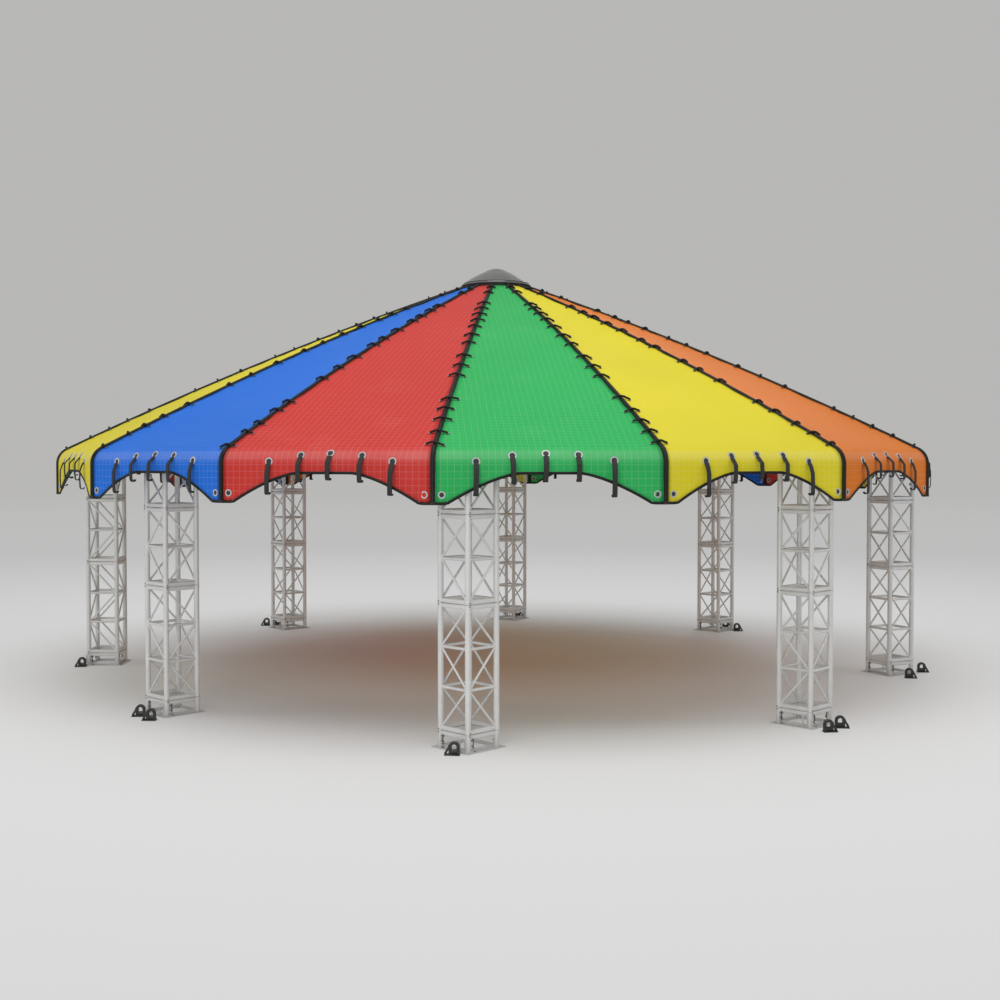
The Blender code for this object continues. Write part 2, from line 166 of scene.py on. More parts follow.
# Name, place, aim, size and share of the key light's power
LAMPS = (
    ("key_light", (0.0, -7.0, 15.0), (0.0, 0.0, 2.0), 10.0, 1.0),
    ("front_light", (-7.0, -25.0, 6.5), (0.0, 0.0, 2.5), 12.0, 1.12),
    ("side_light", (-19.0, -5.0, 7.5), (0.0, 0.0, 2.0), 9.0, 0.36),
    ("side_light", (19.0, -5.0, 7.5), (0.0, 0.0, 2.0), 9.0, 0.36),
    ("back_light", (10.0, 24.0, 12.0), (0.0, 0.0, 3.0), 12.0, 0.45),
    ("cloth_glow", (0.0, 0.5, 3.3), (0.0, 0.5, 0.0), 5.5, 0.031),
)
GLOW_COLOUR = (1.0, 0.46, 0.22)
FLOOR_RADIUS = 140.0
CAMERA_PLACE = (0.0, -18.755, 2.915)
CAMERA_PITCH = 1.73
CAMERA_LENS = 46.95
CAMERA_SHIFT = 0.0037

EAST = Vector((1.0, 0.0, 0.0))
NORTH = Vector((0.0, 1.0, 0.0))
UP = Vector((0.0, 0.0, 1.0))


def colour_property(name, description, default):
    return FloatVectorProperty(name=name, description=description, default=default,
                               subtype="COLOR", size=3, min=0.0, max=1.0)


def length_property(name, description, default):
    return FloatProperty(name=name, description=description, default=default, min=0.0, unit="LENGTH")


class ClothSettings(PropertyGroup):
    green: colour_property("Green cloth", "Colour of the green panels", (0.024, 0.413, 0.100))
    yellow: colour_property("Yellow cloth", "Colour of the yellow panels", (0.710, 0.615, 0.016))
    orange: colour_property("Orange cloth", "Colour of the orange panels", (0.715, 0.178, 0.006))
    blue: colour_property("Blue cloth", "Colour of the blue panels", (0.006, 0.145, 0.660))
    red: colour_property("Red cloth", "Colour of the red panels", (0.555, 0.037, 0.030))
    thickness: length_property("Cloth thickness", "Thickness of the coated cloth", 0.003)
    sag: length_property("Sag", "How far a panel's middle hangs below its seams", 0.024)
    flutter: length_property("Flutter", "How far the valance's lower edge waves in and out", 0.010)
    grid_pitch: length_property("Thread pitch", "Distance between the heavy threads", 0.068)


class TrimSettings(PropertyGroup):
    black: colour_property("Trim black", "Colour of the tubes, cords and binding", (0.006, 0.007, 0.006))
    webbing: colour_property("Webbing", "Colour of the hanging straps", (0.016, 0.018, 0.017))
    eyelet: colour_property("Eyelet", "Colour of the pressed eyelets", (0.50, 0.51, 0.52))
    hem_width: length_property("Hem width", "Width of the binding on the scalloped edge", 0.028)
    cord_thickness: length_property("Tie thickness", "Thickness of the lacing ties", 0.025)
    tie_reach: length_property("Tie reach", "Half of the width that a tie spans", 0.088)
    eyelet_width: length_property("Eyelet width", "Outer width of the valance eyelets", 0.086)
    strap_width: length_property("Strap width", "Width of the hanging straps", 0.052)
    seed: IntProperty(name="Seed", description="Start of the small random differences", default=7)


class MetalSettings(PropertyGroup):
    aluminium: colour_property("Aluminium", "Colour of the towers and the beam ring", (0.69, 0.69, 0.68))
    fittings: colour_property("Fittings", "Colour of the pins, latches and bolts", (0.10, 0.10, 0.105))
    cap: colour_property("Cap", "Colour of the crown cap", (0.090, 0.090, 0.092))
    anchor: colour_property("Anchor", "Colour of the ground anchors", (0.004, 0.004, 0.004))
    brace_thickness: length_property("Brace thickness", "Thickness of the towers' diagonal tubes", 0.024)


class StageSettings(PropertyGroup):
    floor: colour_property("Floor", "Colour of the studio floor", (0.765, 0.765, 0.763))
    backdrop: colour_property("Backdrop", "Colour of the far floor and the light", (0.482, 0.478, 0.466))
    key_power: FloatProperty(name="Key light", description="Power of the soft light overhead",
                             default=980.0, min=0.0, unit="POWER")


class Signal:
    """An output of a node in a finish; sums and products on it add the maths nodes they need."""

    def __init__(self, finish, socket):
        self.finish = finish
        self.socket = socket

    def math(self, operation, *others):
        values = {index: value for index, value in enumerate((self, *others))}
        return self.finish.node("Math", {"operation": operation}, values)

    def flipped(self, operation, other):
        return self.finish.node("Math", {"operation": operation}, {0: other, 1: self})

    def __add__(self, other):
        return self.math("ADD", other)

    def __sub__(self, other):
        return self.math("SUBTRACT", other)

    def __rsub__(self, other):
        return self.flipped("SUBTRACT", other)

    def __mul__(self, other):
        return self.math("MULTIPLY", other)

    def __truediv__(self, other):
        return self.math("DIVIDE", other)

    def __rtruediv__(self, other):
        return self.flipped("DIVIDE", other)

    def __pow__(self, other):
        return self.math("POWER", other)

    __radd__ = __add__
    __rmul__ = __mul__

    def step(self, low, high):
        """0 below low, 1 above high and smooth between; it falls instead where high is the lower."""
        values = {"Value": self, "From Min": low, "From Max": high}
        return self.finish.node("MapRange", {"interpolation_type": "SMOOTHSTEP"}, values)

    def lines(self, pitch, half_width):
        """1 on lines that repeat every pitch, 0 between them."""
        return self.math("PINGPONG", pitch / 2.0).step(half_width, 0.3 * half_width)

    def wave(self, length):
        return (self * (math.tau / length)).math("SINE")


class Finish:
    """A material in the making: one Principled shader, and a body colour that layers are laid over."""

    def __init__(self, name, specular):
        self.material = bpy.data.materials.new(name)
        self.material.use_nodes = True
        self.tree = self.material.node_tree
        self.shader = self.tree.nodes["Principled BSDF"]
        self.place = self.node("TexCoord", output="Object")
        self.body = self.shader.inputs["Base Color"].default_value[:3]
        self.feed(self.shader.inputs["Specular IOR Level"], specular)

    def feed(self, socket, value):
        if isinstance(value, Signal):
            self.tree.links.new(value.socket, socket)
        elif hasattr(value, "__len__") and socket.type == "RGBA":
            socket.default_value = (*value[:3], 1.0)
        else:
            socket.default_value = value

    def node(self, kind, settings=None, values=None, output=0):
        made = self.tree.nodes.new(f"ShaderNode{kind}")
        for setting, value in (settings or {}).items():
            setattr(made, setting, value)
        for socket, value in (values or {}).items():
            self.feed(made.inputs[socket], value)
        return Signal(self, made.outputs[output])

    def mix(self, factor, first, second):
        """A colour between two; the sockets past the sixth are the colour ones."""
        return self.node("Mix", {"data_type": "RGBA"}, {0: factor, 6: first, 7: second}, 2)

    def over(self, factor, colour):
        """Lays a colour over the body so far."""
        self.body = self.mix(factor, self.body, colour)

    def noise(self, scale, detail, roughness=0.5, stretch=None):
        place = self.place
        if stretch:
            place = self.node("Mapping", None, {"Vector": place, "Scale": stretch})
        values = {"Vector": place, "Scale": scale, "Detail": detail, "Roughness": roughness}
        return self.node("TexNoise", None, values)

    def parts(self, place):
        """The separate x, y and z of a place."""
        source = self.node("SeparateXYZ", None, {"Vector": place})
        return [Signal(self, socket) for socket in source.socket.node.outputs]

    def strand(self):
        """Place in the section of a swept piece, and length along it."""
        return self.parts(self.node("Attribute", {"attribute_name": "strand"}, output="Vector"))

    def bump(self, height, distance, strength, below=None):
        values = {"Height": height, "Distance": distance, "Strength": strength}
        if below is not None:
            values["Normal"] = below
        return self.node("Bump", None, values)

    def surface(self, **signals):
        """Gives the shader the body colour and the other signals, named as its sockets are."""
        for socket, value in {"Base_Color": self.body, **signals}.items():
            self.feed(self.shader.inputs[socket.replace("_", " ")], value)
        return self.material


def shade(colour, factor):
    return tuple(min(channel * factor, 1.0) for channel in colour)


def paler(colour, share):
    """A colour part of the way towards white."""
    return tuple(channel + (1.0 - channel) * share for channel in colour)


def cloth_finish(name, colour, pitch):
    """Coated cloth: a pale grid of heavy threads, finer threads between, soft waves, dust, darker seam
    edges and hem, and a painted highlight on the eave bend.
    """
    finish = Finish(name, 0.08)
    across, along, _ = finish.parts(finish.node("UVMap", {"uv_map": "cloth"}))
    from_edge, from_hem, _ = finish.parts(finish.node("UVMap", {"uv_map": "border"}))
    wander = (finish.noise(1.3, 2.0) - 0.5) * (0.12 * pitch)
    across = across + wander
    along = along + wander
    threads = ((pitch, 0.085 * pitch, 0.85), (pitch / 4.0, 0.05 * pitch, 1.0))
    heavy, fine = (across.lines(gap, width).math("MAXIMUM", along.lines(gap, width) * strength)
                   for gap, width, strength in threads)
    worn = finish.noise(2.1, 4.0, 0.6)
    clouds = finish.noise(0.55, 2.0)
    finish.body = finish.mix((clouds - 0.5) * 1.1 + 0.5, shade(colour, 0.90), shade(colour, 1.08))
    finish.over(worn.step(0.52, 0.78) * 0.06, paler(colour, 0.22))
    # Painted highlight: the eave bend is laid paler, in place of the overhead light's sheen on it
    start, highlight_peak, end = EAVE_HIGHLIGHT_LENGTHS
    eave = along.step(start, highlight_peak) * along.step(end, highlight_peak)
    finish.over(eave * (0.05 + 0.12 * worn), paler(colour, 0.6))
    finish.over(heavy * (0.07 + 0.12 * worn) + fine * 0.025, paler(colour, 0.48))
    # Darker along the seam edges and towards the hem
    edge_darkening = from_edge.step(0.055, 0.0) * 0.25 + from_hem.step(0.09, 0.0) * 0.16
    finish.over(edge_darkening * (0.4 + 0.8 * worn), shade(colour, 0.42))
    weave = across.wave(0.0045) * along.wave(0.0045)
    welt = from_edge.step(0.047, 0.040) + from_hem.step(0.052, 0.044)
    waves = finish.bump(finish.noise(1.0, 2.0, stretch=(1.6, 1.6, 2.4)), 0.020, 0.55)
    raised = finish.bump(heavy + 0.35 * fine + 0.8 * welt, 0.0012, 0.7, waves)
    grain = finish.bump(weave, 0.0002, 0.35, raised)
    return finish.surface(Roughness=0.42 + 0.14 * worn + 0.06 * heavy, Normal=grain)


def trim_finish(name, colour, roughness, ribs, rib_share):
    """Black sleeve or cord: thin paler lines along its length, a fine braid and rubbed places."""
    finish = Finish(name, 0.25)
    side, out, along = finish.strand()
    around = side.math("ARCTAN2", out) / math.tau
    rubbed = finish.noise(9.0, 4.0, 0.65)
    line = around.lines(1.0 / ribs, rib_share / ribs)
    braid = (around * 24.0 + along * 90.0).math("SINE") * (around * 24.0 - along * 90.0).math("SINE")
    finish.body = finish.mix(line * (0.25 + 0.5 * rubbed), colour, paler(colour, 0.035))
    finish.over(rubbed.step(0.55, 0.8) * 0.5, paler(colour, 0.025))
    relief = finish.bump(line * -1.0 + 0.25 * braid, 0.0011, 0.8)
    return finish.surface(Roughness=roughness + 0.18 * rubbed, Normal=relief)


def webbing_finish(name, colour):
    """Flat woven strap: ribs across its width, a cross weave and a paler worn middle."""
    finish = Finish(name, 0.25)
    side, _, along = finish.strand()
    fray = finish.noise(30.0, 4.0, 0.7)
    rib = side.lines(0.0065, 0.0018)
    cross = along.wave(0.005) * 0.5 + 0.5
    edge = side.math("ABSOLUTE").step(0.021, 0.024)
    finish.body = finish.mix(rib * 0.5, paler(colour, 0.012), shade(colour, 0.5))
    finish.over(cross * 0.25 + fray * 0.25, paler(colour, 0.03))
    finish.over(edge * 0.6, shade(colour, 0.45))
    relief = finish.bump(cross * 0.5 - rib, 0.0008, 0.7)
    return finish.surface(Roughness=0.62 + 0.2 * fray, Normal=relief)


def aluminium_finish(name, colour, dull=0.0):
    """Satin aluminium: drawn lines along the tubes, dull patches, handling marks, and darker towards the
    ground.
    """
    finish = Finish(name, 0.5)
    _, _, height = finish.parts(finish.place)
    drawn = finish.noise(1.0, 2.0, stretch=(160.0, 160.0, 5.0))
    patches = finish.noise(5.0, 4.0, 0.6)
    marks = finish.noise(1.0, 5.0, 0.75, (40.0, 40.0, 13.0))
    finish.body = finish.mix(patches, shade(colour, 0.86), paler(colour, 0.22))
    finish.over(marks.step(0.60, 0.72) * 0.45, shade(colour, 0.55))
    # Darker towards the ground
    finish.over(height.step(0.22, 0.0) * (0.2 + 0.5 * patches), shade(colour, 0.62))
    relief = finish.bump(drawn * 0.4 + marks, 0.0008, 0.35)
    return finish.surface(Metallic=0.42 - dull - 0.2 * marks,
                          Roughness=0.40 + 0.16 * patches + 0.14 * drawn, Normal=relief)


def eyelet_finish(name, colour):
    """Pressed pale eyelet with small dents and a dull film."""
    finish = Finish(name, 0.5)
    film = finish.noise(60.0, 4.0, 0.6)
    finish.body = finish.mix(film, shade(colour, 0.72), paler(colour, 0.25))
    relief = finish.bump(finish.noise(180.0, 2.0), 0.0006, 0.5)
    return finish.surface(Metallic=0.55 - 0.2 * film, Roughness=0.34 + 0.25 * film, Normal=relief)


def painted_finish(name, colour, roughness, chip_colour, chips, gloss=0.0, dusting=0.045):
    """Painted or cast metal: orange-peel relief, dust clouds and chips that show another colour."""
    finish = Finish(name, 0.5)
    dust = finish.noise(6.0, 5.0, 0.6)
    spots = finish.noise(70.0, 5.0, 0.7)
    chipped = spots.step(1.0 - chips, 1.03 - chips)
    finish.body = finish.mix(dust, shade(colour, 0.8), paler(colour, dusting))
    finish.over(chipped * 0.7, chip_colour)
    relief = finish.bump(spots + 0.6 * chipped, 0.0007, 0.4)
    return finish.surface(Roughness=roughness + 0.22 * dust + 0.2 * chipped,
                          Normal=relief, Coat_Weight=gloss, Coat_Roughness=0.12)


def clamped(value):
    return min(max(value, 0.0), 1.0)


def polar(radius, angle):
    return radius * math.cos(angle), radius * math.sin(angle)


def round_angles(count, offset=0.0):
    return [math.tau * (step + offset) / count for step in range(count)]


def on_bearing(radius, bearing, height=0.0):
    angle = math.radians(bearing)
    return Vector((radius * math.sin(angle), -radius * math.cos(angle), height))


def turned(degrees, axis="Z"):
    return Matrix.Rotation(math.radians(degrees), 4, axis)


def roof_height(radius):
    share = (radius - CROWN_BEND_RADIUS) / (ROOF_END_RADIUS - CROWN_BEND_RADIUS)
    straight = CROWN_HEIGHT + share * (ROOF_END_HEIGHT - CROWN_HEIGHT)
    return straight + 4.0 * ROOF_BOW * share * (1.0 - share)


def hem_height(share):
    """Height of the valance's lower edge, where share is 0 at mid-panel and 1 at a seam."""
    run = (abs(share) - SCALLOP_FLAT_TOP) / (SCALLOP_FLAT_TIP - SCALLOP_FLAT_TOP)
    return TIP_HEIGHT + SCALLOP_RISE * (1.0 - clamped(run) ** SCALLOP_POWER)


def profile(first_radius, roof_rows):
    """Radius and height pairs from first_radius over the roof and round the eave bend."""
    step = (ROOF_END_RADIUS - first_radius) / roof_rows
    radii = [first_radius + step * row for row in range(roof_rows)]
    rows = [(radius, roof_height(radius)) for radius in radii]
    for row in range(BEND_ROWS + 1):
        out, up = polar(BEND_RADIUS, BEND_START * (1.0 - row / BEND_ROWS))
        rows.append((BEND_CENTRE + out, BEND_HEIGHT + up))
    return rows


def panel_turn(index):
    """Takes a panel from its own frame (bearing 0) to its place."""
    return turned(FIRST_SEAM_BEARING + SEAM_STEP * (index + 0.5))


def half_width(radius):
    return radius * math.sin(HALF_STEP) - SEAM_CLEARANCE


def new_mesh():
    mesh = bmesh.new()
    mesh.verts.layers.float_vector.new("strand")
    return mesh


def circle(radius, sides):
    return [polar(radius, angle) for angle in round_angles(sides, 0.5)]


def rounded_strip(width, thickness, corner):
    """The eight corners of a flat section with its corners cut off."""
    wide, high = width / 2.0, thickness / 2.0
    quarter = [(wide, high - corner), (wide - corner, high)]
    half = quarter + [(-x, y) for x, y in reversed(quarter)]
    return half + [(-x, -y) for x, y in half]


def path_frames(points, side, closed=False):
    """A frame at each point: z runs along the path and x is the given side, set square to it."""
    count = len(points)
    frames = []
    for index, point in enumerate(points):
        before = points[index - 1] if index or closed else point
        after = points[(index + 1) % count] if index + 1 < count or closed else point
        along = (after - before).normalized()
        across = (side - along * side.dot(along)).normalized()
        axes = Matrix((across, along.cross(across), along)).transposed().to_4x4()
        frames.append(Matrix.Translation(point) @ axes)
    return frames + frames[:1] if closed else frames


def sweep(mesh, section, frames, closed=False):
    """Draws a section along the frames; the strand layer keeps its own place and the length so far."""
    strand = mesh.verts.layers.float_vector["strand"]
    verts = []
    for x, y in section:
        verts.append(mesh.verts.new(frames[0] @ Vector((x, y, 0.0))))
        verts[-1][strand] = (x, y, 0.0)
    edges = [mesh.edges.new((verts[index - 1], verts[index])) for index in range(len(verts))]
    start, made, length = list(edges), list(verts), 0.0
    for before, after in zip(frames, frames[1:]):
        length += (after.translation - before.translation).length
        grown = bmesh.ops.extrude_edge_only(mesh, edges=edges)["geom"]
        verts = [part for part in grown if isinstance(part, bmesh.types.BMVert)]
        edges = [part for part in grown if isinstance(part, bmesh.types.BMEdge)]
        bmesh.ops.transform(mesh, matrix=after @ before.inverted(), verts=verts)
        for vert in verts:
            vert[strand] = (vert[strand][0], vert[strand][1], length)
        made += verts
    if closed:
        bmesh.ops.remove_doubles(mesh, verts=made, dist=0.00005)
    else:
        bmesh.ops.contextual_create(mesh, geom=start)
        bmesh.ops.contextual_create(mesh, geom=edges)


def draw(mesh, section, points, side, closed=False):
    """Sweeps a section along points."""
    sweep(mesh, section, path_frames(points, side, closed), closed)


def bar(mesh, start, end, radius, sides, far_radius=None):
    """A round bar or cone between two points."""
    axis = end - start
    far = radius if far_radius is None else far_radius
    made = bmesh.ops.create_cone(mesh, cap_ends=True, segments=sides, radius1=radius, radius2=far,
                                 depth=axis.length)["verts"]
    turn = axis.to_track_quat("Z", "Y").to_matrix().to_4x4()
    bmesh.ops.transform(mesh, matrix=Matrix.Translation((start + end) / 2.0) @ turn, verts=made)


def block(mesh, size, centre, edge):
    """A box with softened edges."""
    made = bmesh.ops.create_cube(mesh, size=1.0)["verts"]
    bmesh.ops.scale(mesh, vec=size, verts=made)
    bmesh.ops.translate(mesh, vec=centre, verts=made)
    edges = list({link for vert in made for link in vert.link_edges})
    grown = bmesh.ops.bevel(mesh, geom=edges, offset=edge, segments=2, profile=0.5, affect="EDGES",
                            material=-1)
    return list({vert for face in grown["faces"] for vert in face.verts})


def washer(mesh, centre_radius, section, steps, matrix):
    """A ring of small section round z, such as an eyelet."""
    points = [matrix @ Vector((*polar(centre_radius, angle), 0.0)) for angle in round_angles(steps)]
    draw(mesh, section, points, (matrix.to_3x3() @ UP).normalized(), True)


def spun(outline, steps):
    """A mesh turned from radius and height pairs; an edge on the axis itself is left out."""
    mesh = bmesh.new()
    verts = [mesh.verts.new((radius, 0.0, CAP_BASE + height)) for radius, height in outline]
    pairs = [(verts[index - 1], verts[index]) for index in range(len(verts))]
    edges = [mesh.edges.new(pair) for pair in pairs if pair[0].co.x or pair[1].co.x]
    bmesh.ops.spin(mesh, geom=verts + edges, cent=(0.0, 0.0, 0.0), axis=UP, angle=math.tau,
                   steps=steps, use_merge=True)
    bmesh.ops.remove_doubles(mesh, verts=mesh.verts[:], dist=0.0001)
    return mesh


def add_object(name, data):
    made = bpy.data.objects.new(name, data)
    bpy.context.scene.collection.objects.link(made)
    return made


def mesh_object(name, mesh, material):
    data = bpy.data.meshes.new(name)
    mesh.to_mesh(data)
    mesh.free()
    data.materials.append(material)
    return add_object(name, data)


def add_piece(name, mesh, finish, stands_for=(), place=None, sharp=38.0):
    """Makes the finished object of a piece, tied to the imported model."""
    if place is not None:
        bmesh.ops.transform(mesh, matrix=place, verts=mesh.verts[:])
    bmesh.ops.recalc_face_normals(mesh, faces=mesh.faces[:])
    piece = mesh_object(name, mesh, finish)
    piece.data.polygons.foreach_set("use_smooth", [True] * len(piece.data.polygons))
    piece.data.set_sharp_from_angle(angle=math.radians(sharp))
    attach(piece, "root")
    if stands_for:
        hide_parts(*stands_for)
    return piece


def cloth_rows():
    """Radius, height, outward direction and length from the top for each row above the valance."""
    rows = profile(PANEL_TOP_RADIUS, ROOF_ROWS)
    length = 0.0
    table = []
    for index, (radius, height) in enumerate(rows):
        inner, outer = rows[max(index - 1, 0)], rows[min(index + 1, len(rows) - 1)]
        reach = math.dist(inner, outer)
        outward = ((inner[1] - outer[1]) / reach, (outer[0] - inner[0]) / reach)
        length += math.dist(rows[max(index - 1, 0)], rows[index])
        table.append((radius, height, outward, length))
    return table


def tie_phase(radius):
    """How many ties lie above a radius, counted smoothly between them."""
    for index, (inner, outer) in enumerate(zip(TIE_RADII, TIE_RADII[1:])):
        if radius < outer:
            return index + (radius - inner) / (outer - inner)
    return len(TIE_RADII) - 1.0


class Cloth:
    """The shape of one panel's cloth, in the panel's own frame (bearing 0)."""

    def __init__(self, index, settings):
        self.rows = cloth_rows()
        self.number = index
        self.settings = settings
        self.row_count = len(self.rows) - 1 + VALANCE_ROWS

    def relief(self, share, radius, height, length):
        """How far the cloth stands out of its taut shape."""
        width = half_width(radius)
        seed = Vector((self.number * 3.7, share * width * 0.9, length * 0.8))
        eave = clamped((ROOF_END_RADIUS - radius) / SAG_FADE)
        loose = 1.0 - share * share
        sag = -self.settings.sag * (width / SAG_WIDTH) * loose * eave
        to_seam = (1.0 - abs(share)) * width
        ripple = RIPPLE * math.exp(-to_seam / RIPPLE_REACH) * math.cos(math.tau * tie_phase(radius))
        hanging = clamped((BEND_HEIGHT + EAVE_MARGIN - height) / HANG_FADE)
        wave = noise.noise(seed * 2.3) * self.settings.flutter * 1.6 * hanging * min(4.0 * loose, 1.0)
        return sag + ripple * eave + wave + CRUMPLE * noise.noise(seed) * loose * eave

    def point(self, share, row):
        """Place, lateral and lengthwise measure, and distance from the edge and the hem."""
        last = len(self.rows) - 1
        radius, height, outward, length = self.rows[min(row, last)]
        hem = hem_height(share)
        if row > last:
            drop = (BEND_HEIGHT - hem) * (row - last) / VALANCE_ROWS
            height -= drop
            length += drop
        x = share * half_width(radius)
        out = self.relief(share, radius, height, length)
        depth = radius * math.cos(HALF_STEP) + outward[0] * out
        place = Vector((x, -depth, height + outward[1] * out))
        above_hem = height - hem if height < BEND_HEIGHT + EAVE_MARGIN else 1.0
        return place, (x, length), (half_width(radius) - abs(x), above_hem)

    def hem_point(self, share):
        return self.point(share, self.row_count)[0]

    def mesh(self):
        mesh = bmesh.new()
        bmesh.ops.create_grid(mesh, x_segments=CLOTH_COLUMNS, y_segments=self.row_count, size=1.0)
        layers = [mesh.loops.layers.uv.new(name) for name in ("cloth", "border")]
        measures = {}
        for vert in mesh.verts:
            row = round((1.0 - vert.co.y) / 2.0 * self.row_count)
            vert.co, *measures[vert] = self.point(vert.co.x, row)
        for face in mesh.faces:
            for loop in face.loops:
                for layer, measure in zip(layers, measures[loop.vert]):
                    loop[layer].uv = measure
        return mesh

    def cut_area(self):
        """Flat area of the panel: its width at each row times the length to the next."""
        area = 0.0
        for (inner, _, _, start), (outer, _, _, end) in zip(self.rows, self.rows[1:]):
            area += (half_width(inner) + half_width(outer)) * (end - start)
        steps = 80
        width = 2.0 * half_width(SEAM_RADIUS) / steps
        for step in range(steps):
            area += (BEND_HEIGHT - hem_height(2.0 * (step + 0.5) / steps - 1.0)) * width
        return area


class CANOPY_OT_cloth(Operator):
    """Sixteen sheets of coated cloth with their scalloped hems"""
    bl_idname = "canopy.cloth"
    bl_label = "Cloth panels"

    def execute(self, context):
        settings = context.scene.canopy_cloth
        trim = context.scene.canopy_trim
        pitch = settings.grid_pitch
        finishes = {name: cloth_finish(f"cloth_{name}", getattr(settings, name), pitch)
                    for name in sorted(set(PANEL_COLOURS))}
        hem_black = trim_finish("hem_binding", trim.black, 0.50, 3.0, 0.12)
        for index, colour in enumerate(PANEL_COLOURS):
            cloth = Cloth(index, settings)
            label = LABELS[index]
            sheet = add_piece(f"cloth_{label}", cloth.mesh(), finishes[colour],
                              [f"panel_{label}"], panel_turn(index))
            shell = sheet.modifiers.new("thickness", "SOLIDIFY")
            shell.thickness = settings.thickness
            shell.offset = 0.0
            hem = self.add_hem(cloth, trim, hem_black, label)
            flat = (2.0 * half_width(SEAM_RADIUS), cloth.rows[-1][3] + BEND_HEIGHT - TIP_HEIGHT)
            cloth.cut_area()
        return {"FINISHED"}

    def add_hem(self, cloth, trim, finish, label):
        mesh = new_mesh()
        lift = UP * (-0.35 * trim.hem_width)
        shares = [2.0 * step / HEM_STEPS - 1.0 for step in range(HEM_STEPS + 1)]
        points = [cloth.hem_point(share) + lift for share in shares]
        draw(mesh, rounded_strip(0.011, trim.hem_width, 0.0035), points, -NORTH)
        return add_piece(f"hem_{label}", mesh, finish, (), panel_turn(cloth.number))


class CANOPY_OT_seams(Operator):
    """Sixteen bent seam tubes, from the crown to the tips of the valance"""
    bl_idname = "canopy.seams"
    bl_label = "Seam tubes"

    def execute(self, context):
        trim = context.scene.canopy_trim
        finish = trim_finish("seam_sleeve", trim.black, 0.42, 6.0, 0.10)
        rows = [(CROWN_FACE_RADIUS, CROWN_HEIGHT)] + profile(CROWN_BEND_RADIUS, 28)
        rows += [(SEAM_RADIUS, 2.70), (SEAM_RADIUS, TIP_HEIGHT - 0.022)]
        for label, bearing in zip(LABELS, SEAM_BEARINGS):
            mesh = new_mesh()
            points = [on_bearing(radius, bearing, height) for radius, height in rows]
            frames = path_frames(points, on_bearing(1.0, bearing + 90.0))
            sweep(mesh, circle(TUBE_RADIUS, 14), frames)
            tip = frames[-1]
            bar(mesh, tip @ (UP * -0.030), tip @ (UP * 0.001), TUBE_RADIUS + 0.0015, 14)
            add_piece(f"seam_tube_{label}", mesh, finish, [f"rafter_{label}"])
        return {"FINISHED"}


def roof_frame(bearing, radius):
    """The seam's own axes at a radius on the roof."""
    reaches = [radius + step for step in (-0.02, 0.0, 0.02)]
    points = [on_bearing(reach, bearing, roof_height(reach)) for reach in reaches]
    return path_frames(points, on_bearing(1.0, bearing + 90.0))[1]


class CANOPY_OT_lacing(Operator):
    """Short cord ties over each seam tube, with a small eyelet at each end"""
    bl_idname = "canopy.lacing"
    bl_label = "Lacing"

    def execute(self, context):
        trim = context.scene.canopy_trim
        cord = trim_finish("lacing_cord", trim.black, 0.50, 3.0, 0.10)
        metal = eyelet_finish("lacing_eyelet", shade(trim.eyelet, 0.55))
        for index, (label, bearing) in enumerate(zip(LABELS, SEAM_BEARINGS)):
            chance = random.Random(trim.seed + index)
            ties, eyelets = new_mesh(), new_mesh()
            for radius in TIE_RADII:
                place = roof_frame(bearing, radius + chance.uniform(-0.035, 0.035))
                self.add_tie(ties, eyelets, place, trim, chance, min(1.0, 0.40 + 0.38 * radius))
            add_piece(f"lacing_{label}", ties, cord)
            add_piece(f"lacing_eyelets_{label}", eyelets, metal)
        return {"FINISHED"}

    def add_tie(self, ties, eyelets, place, trim, chance, size):
        half = trim.cord_thickness / 2.0
        left, right = (trim.tie_reach * size * chance.uniform(0.92, 1.12) for _ in range(2))
        slant = chance.uniform(-0.020, 0.020)
        rise = TUBE_RADIUS + half - 0.001
        ends = [[(reach, -TIE_FOOT), (reach - 0.006, half * 0.9), (0.55 * reach, rise * 0.62),
                 (0.25 * reach, rise * 0.95)] for reach in (left, right)]
        shape = [(-x, y) for x, y in ends[0]] + [(0.0, rise)] + ends[1][::-1]
        slope = slant / trim.tie_reach
        points = [Vector((x, y, slope * x + 0.004 * math.sin(40.0 * x))) for x, y in shape]
        frames = [place @ own for own in path_frames(points, UP)]
        sweep(ties, circle(half, 6), frames)
        for end in (points[0], points[-1]):
            lying = place @ Matrix.Translation((end.x, 0.0015, end.z)) @ turned(-90.0, "X")
            washer(eyelets, SMALL_EYELET_RADIUS, SMALL_EYELET, 9, lying)


def eave_frame(share, height):
    """Axes on a panel's eave or valance, in the panel's own frame: x across, y down, z outwards."""
    up = clamped((height - BEND_HEIGHT) / BEND_RADIUS)
    out = math.sqrt(1.0 - up * up)
    radius = BEND_CENTRE + BEND_RADIUS * out
    axes = Matrix(((1.0, 0.0, 0.0), (0.0, -up, -out), (0.0, -out, up)))
    place = (share * half_width(radius), -radius * math.cos(HALF_STEP), height)
    return Matrix.Translation(place) @ axes.to_4x4()


